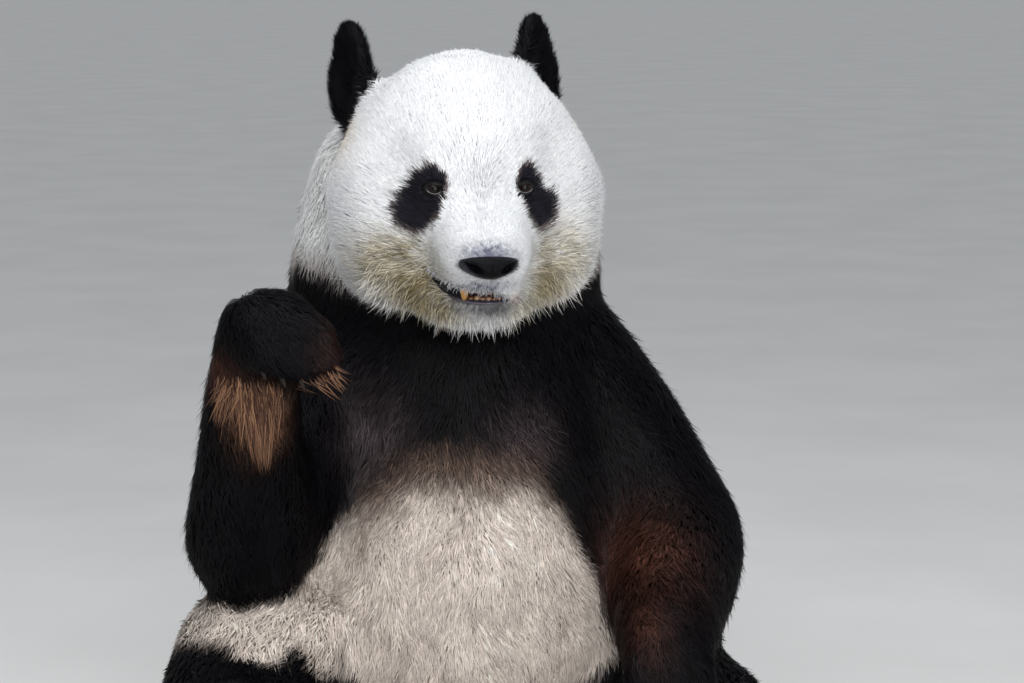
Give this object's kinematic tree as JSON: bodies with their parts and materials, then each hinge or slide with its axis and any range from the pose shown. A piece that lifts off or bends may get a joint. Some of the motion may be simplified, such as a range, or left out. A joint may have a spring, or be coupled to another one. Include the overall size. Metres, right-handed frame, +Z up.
{
  "type": "giant panda",
  "caption": "Life-size still model of a giant panda sitting upright, one forepaw raised beside its mouth and the other laid over its knee.",
  "frame": {"origin": "on the ground, in the middle of the flat under the rump", "axes": "the animal faces -Y, +X is its left side, +Z is up"},
  "size_m": [0.7784, 0.8605, 0.9735],
  "materials": {
    "coat_white": "thick soft white hair, cream to tan on the lower cheeks",
    "coat_black": "thick soft black hair with a faint blue sheen, brown where it is worn",
    "coat_belly": "pale pinkish beige hair with fine dark streaks",
    "nose_leather": "bare black pebbled skin, slightly moist",
    "eye": "dark brown, wet and glossy",
    "claw_horn": "worn grey-brown horn",
    "paw_pad": "bare rough grey-black pad skin",
    "mouth_skin": "moist dark lip and gum",
    "tooth": "yellow-brown stained enamel"
  },
  "bodies": {
    "root": {"abdomen": "coat_belly", "chest": "coat_black", "head": "coat_white", "left_ear": "coat_black", "left_eye": "eye", "left_forearm": "coat_black", "left_forepaw": "coat_black", "left_forepaw_claw_1": "claw_horn", "left_forepaw_claw_2": "claw_horn", "left_forepaw_claw_3": "claw_horn", "left_forepaw_claw_4": "claw_horn", "left_forepaw_claw_5": "claw_horn", "left_hind_foot": "coat_black", "left_hind_foot_claw_1": "claw_horn", "left_hind_foot_claw_2": "claw_horn", "left_hind_foot_claw_3": "claw_horn", "left_hind_foot_claw_4": "claw_horn", "left_hind_foot_claw_5": "claw_horn", "left_shin": "coat_black", "left_thigh": "coat_belly", "left_upper_arm": "coat_black", "lower_jaw": "coat_white", "neck": "coat_white", "nose_pad": "nose_leather", "right_ear": "coat_black", "right_eye": "eye", "right_forearm": "coat_black", "right_forepaw": "coat_black", "right_forepaw_claw_1": "claw_horn", "right_forepaw_claw_2": "claw_horn", "right_forepaw_claw_3": "claw_horn", "right_forepaw_claw_4": "claw_horn", "right_forepaw_claw_5": "claw_horn", "right_hind_foot": "coat_black", "right_hind_foot_claw_1": "claw_horn", "right_hind_foot_claw_2": "claw_horn", "right_hind_foot_claw_3": "claw_horn", "right_hind_foot_claw_4": "claw_horn", "right_hind_foot_claw_5": "claw_horn", "right_shin": "coat_black", "right_thigh": "coat_belly", "right_upper_arm": "coat_black", "tail": "coat_white"}
  },
  "joints": []
}
